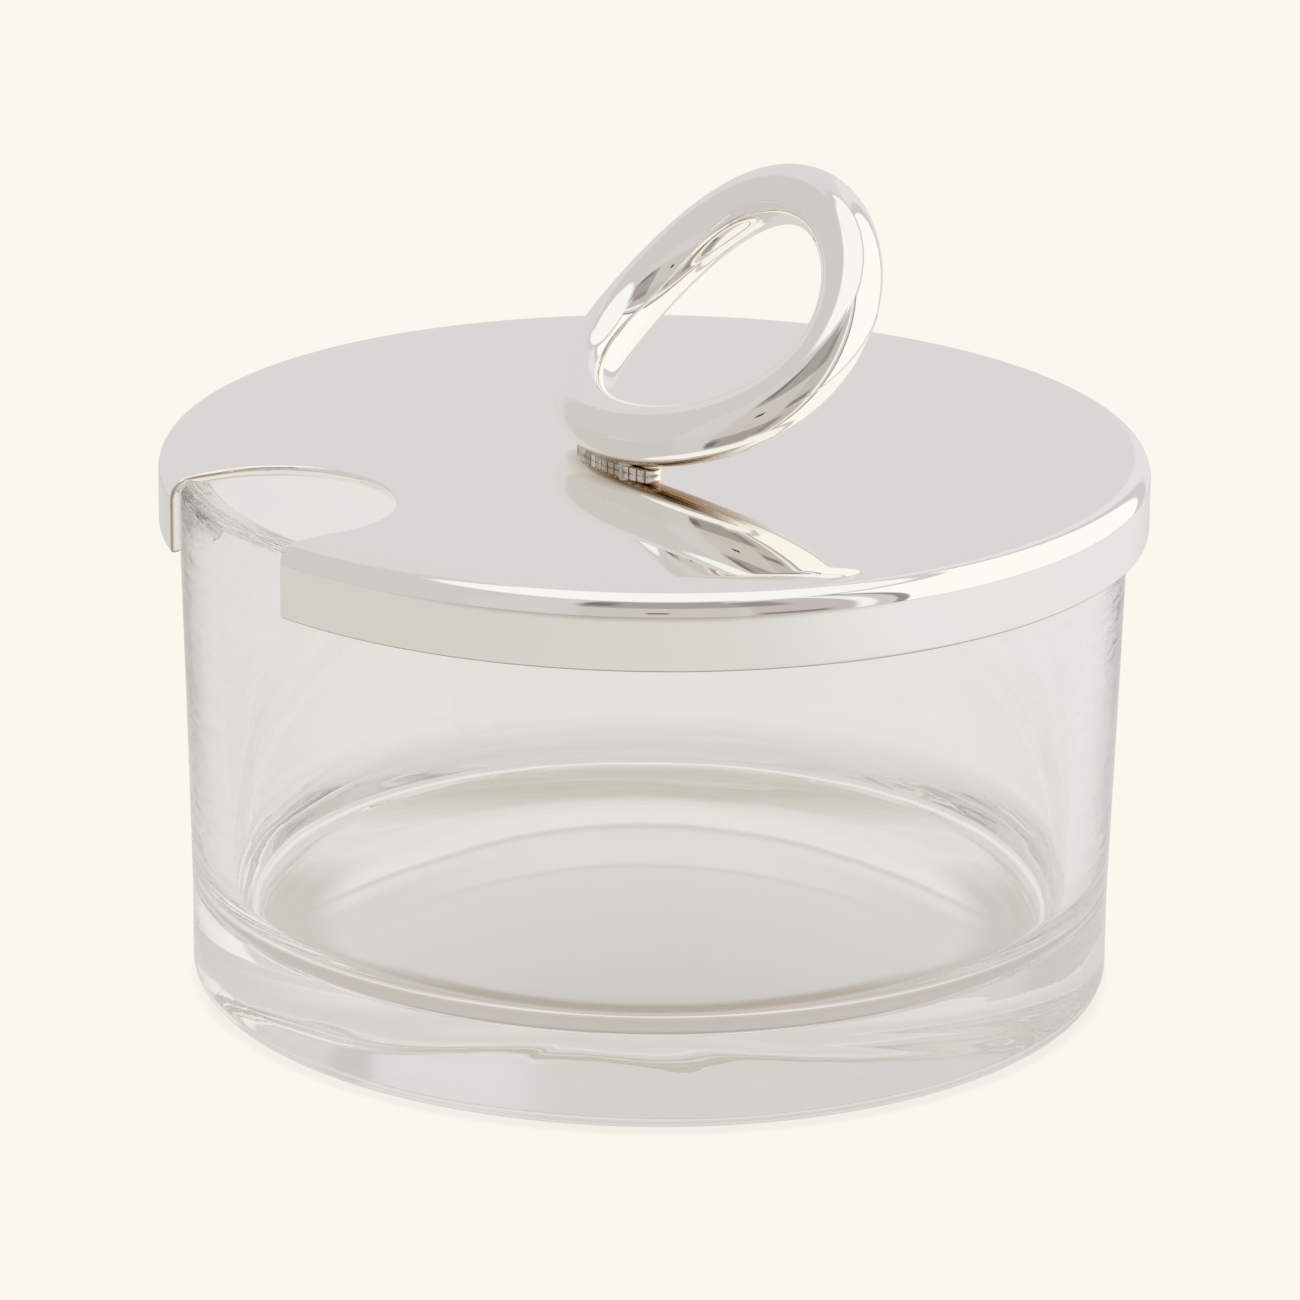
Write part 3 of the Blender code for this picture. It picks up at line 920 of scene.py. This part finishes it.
def build_floor():
    """The pale floor that the camera sees, and the small table top that metal and glass see."""
    material, nodes, links, colour = glowing_material("floor_paper")
    place = nodes.new("ShaderNodeTexCoord").outputs["Object"]
    away = distance_from_axis(nodes, links, place)
    shade = map_between(nodes, links, away, CONTACT_SHADE_START, CONTACT_SHADE_END)
    links.new(mix_colour(nodes, links, shade, linear(CONTACT_SHADE), linear(FLOOR_SEEN)), colour)
    floor = stage_disc("floor", FLOOR_REACH, -FLOOR_GAP, material)
    floor.visible_glossy = False
    floor.visible_transmission = False

    material, nodes, links, colour = glowing_material("table_top")
    path = nodes.new("ShaderNodeLightPath")
    place = nodes.new("ShaderNodeTexCoord").outputs["Object"]
    split = nodes.new("ShaderNodeSeparateXYZ")
    links.new(place, split.inputs[0])
    x, y = split.outputs[0], split.outputs[1]
    away = distance_from_axis(nodes, links, place)
    # Painted light: the table is lighter towards the right.
    aside = map_between(nodes, links, x, -TABLE_THROUGH_REACH, TABLE_THROUGH_REACH)
    leftmost, rightmost = TABLE_IN_METAL[0][0], TABLE_IN_METAL[-1][0]
    stops = [((at - leftmost) / (rightmost - leftmost), linear(c)) for at, c in TABLE_IN_METAL]
    in_metal = ramp(nodes, links, map_between(nodes, links, x, leftmost, rightmost), stops)
    in_metal = mix_colour(nodes, links, 1.0, in_metal, METAL_GAIN, "MULTIPLY")
    through = mix_colour(nodes, links, aside, linear(TABLE_THROUGH_LEFT), linear(TABLE_THROUGH_RIGHT))
    near = map_between(nodes, links, away, TABLE_NEAR_START, TABLE_NEAR_END)
    through = mix_colour(nodes, links, near, linear(TABLE_NEAR), through)
    beyond = map_between(nodes, links, away, BASE_RADIUS - 3 * MM, BASE_RADIUS + 1 * MM)
    below = under_base_colour(nodes, links, x, y, away)
    through = mix_colour(nodes, links, beyond, below, through)
    glint = band(nodes, links, away, EDGE_GLINT_RADIUS, EDGE_GLINT_RADIUS, 0.8 * MM)
    through = mix_colour(nodes, links, glint, through, linear(EDGE_GLINT))
    tone = mix_colour(nodes, links, path.outputs["Is Transmission Ray"], in_metal, through)
    rim = map_between(nodes, links, away, TABLE_REACH - 12 * MM, TABLE_REACH)
    links.new(mix_colour(nodes, links, rim, tone, linear(TABLE_EDGE)), colour)
    table = stage_disc("table_top", TABLE_REACH, -FLOOR_GAP, material)
    table.visible_camera = False


# Each panel of the studio: name, compass range, height range, edge softness, colour, in degrees and
# display values. The compass runs from 0 behind the object through 90 on its right to 180 in front.
STUDIO_WALL = (205, 202, 197)
STUDIO_PANELS = (
    ("back wall", (-45, 30), (-60, 56), 9, (217, 213, 210)),
    ("bright back corner", (11, 27), (-60, 54), 7, (227, 224, 222)),
    ("softbox frame", (28, 128), (-60, 60), 2.5, (206, 203, 199)),
    ("softbox", (36, 121), (-60, 55), 2.0, (252, 250, 243)),
    ("frame beside the softbox", (121, 124), (-60, 57), 1.2, (150, 144, 139)),
    ("slit beside the softbox", (129, 134), (-60, 58), 2, (243, 240, 236)),
    ("screen on the right", (134, 158), (-60, 54), 4, (193, 186, 179)),
    ("dim side of the screen", (147, 160), (28, 52), 5, (150, 143, 138)),
    ("foot of the screen", (140, 156), (-14, -5), 4, (140, 130, 120)),
    ("room above the camera", (158, 198), (28, 60), 3, (166, 160, 155)),
    ("dim corner of the room", (190, 203), (36, 54), 5, (128, 118, 112)),
    ("table before the camera", (160, 196), (-60, 27), 3, (202, 196, 187)),
    ("lens", (176.5, 181.5), (0, 5), 1.5, (40, 38, 38)),
    ("left stand", (215, 218), (-60, 2), 1.5, (110, 104, 98)),
    ("front left wall", (199, 222), (-60, 58), 5, (209, 206, 203)),
    ("ceiling light", (-60, 300), (64, 100), 4, (247, 245, 239)),
    ("ceiling light over the right", (-20, 150), (59, 100), 2.5, (247, 245, 239)),
)
# The softbox stands close, so from the far side of the bowl its left edge lies further round
SOFTBOX_EDGE_THROUGH_GLASS = (34, 52)
SOFTBOX_EDGE_COLOUR = (220, 216, 213)


def build_world():
    """The studio round the object, as soft panels of light seen by the metal and the glass."""
    world = bpy.data.worlds.new("studio")
    bpy.context.scene.world = world
    world.use_nodes = True
    nodes, links = world.node_tree.nodes, world.node_tree.links
    direction = nodes.new("ShaderNodeTexCoord").outputs["Generated"]
    turned = nodes.new("ShaderNodeVectorRotate")
    turned.rotation_type = "Z_AXIS"
    turned.inputs["Angle"].default_value = math.radians(COMPASS_TURN)
    links.new(direction, turned.inputs["Vector"])
    split = nodes.new("ShaderNodeSeparateXYZ")
    links.new(turned.outputs[0], split.inputs[0])
    compass = math_node(nodes, links, "ARCTAN2", split.outputs[0], split.outputs[1])
    compass = math_node(nodes, links, "DEGREES", compass)
    compass = math_node(nodes, links, "ADD", compass, COMPASS_TURN)
    height = math_node(nodes, links, "ARCSINE", split.outputs[2])
    height = math_node(nodes, links, "DEGREES", height)
    colour = linear(STUDIO_WALL)
    for _, across, upward, edge, tone in STUDIO_PANELS:
        share = soft_range(nodes, links, compass, across, edge)
        level = soft_range(nodes, links, height, upward, edge)
        share = math_node(nodes, links, "MULTIPLY", share, level)
        colour = mix_colour(nodes, links, share, colour, linear(tone))
    through = nodes.new("ShaderNodeLightPath").outputs["Is Transmission Ray"]
    in_metal = mix_colour(nodes, links, 1.0, colour, METAL_GAIN, "MULTIPLY")
    share = soft_range(nodes, links, compass, SOFTBOX_EDGE_THROUGH_GLASS, 3)
    in_glass = mix_colour(nodes, links, share, colour, linear(SOFTBOX_EDGE_COLOUR))
    colour = mix_colour(nodes, links, through, in_metal, in_glass)
    background = nodes["Background"]
    links.new(colour, background.inputs["Color"])


def build_camera():
    data = bpy.data.cameras.new("camera")
    data.sensor_width = SENSOR
    data.lens = LENS
    data.clip_start = 0.05
    data.clip_end = 20.0
    camera = bpy.data.objects.new("camera", data)
    bpy.context.scene.collection.objects.link(camera)
    bpy.context.scene.camera = camera
    e = CAMERA_ELEVATION
    back = Vector((0.0, -math.cos(e), math.sin(e)))
    raise_by = Vector((0.0, math.sin(e), math.cos(e)))
    forward = (-back + CAMERA_RAISE * raise_by).normalized()
    right = forward.cross(Vector((0, 0, 1))).normalized()
    up = right.cross(forward)
    c, s = math.cos(CAMERA_ROLL), math.sin(CAMERA_ROLL)
    turned_right = c * right + s * up
    turned_up = c * up - s * right
    rotation = Matrix((turned_right, turned_up, -forward)).transposed()
    spot = CAMERA_DISTANCE * back + Vector((CAMERA_ASIDE, 0, 0))
    camera.matrix_world = Matrix.Translation(spot) @ rotation.to_4x4()


# ---------------------------------------------------------------- everything


def main():
    glass = make_glass()
    cap_silver = make_silver("cap_silver", cap_painted_edge_lines)
    ring_silver = make_silver("ring_silver", ring_painted_shade, RING_PAINTED_SHADE)
    end_silver = make_silver("foot_end_silver")
    rib_silver = make_foot_silver("foot_silver", *RIB_CAST, RIB_ROUGHNESS)
    groove_silver = make_foot_silver("foot_groove_painted_shade", *GROOVE_PAINTED_SHADE, GROOVE_ROUGHNESS)
    steel = make_steel()

    build_bowl(glass)
    build_cap(cap_silver)
    ring = build_ring(ring_silver)
    build_foot(rib_silver, groove_silver, end_silver, ring)
    for side in ("front", "rear"):
        build_washer(f"{side}_fixing_washer", f"{side}_washer", steel)
        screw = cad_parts[f"{side}_screw"]
        screw.data.materials.clear()
        screw.data.materials.append(steel)

    build_floor()
    build_world()
    build_camera()
    scene = bpy.context.scene
    scene.view_settings.view_transform = "Standard"
    scene.cycles.max_bounces = LIGHT_BOUNCES
    scene.cycles.transmission_bounces = LIGHT_BOUNCES
    scene.cycles.glossy_bounces = LIGHT_BOUNCES


main()
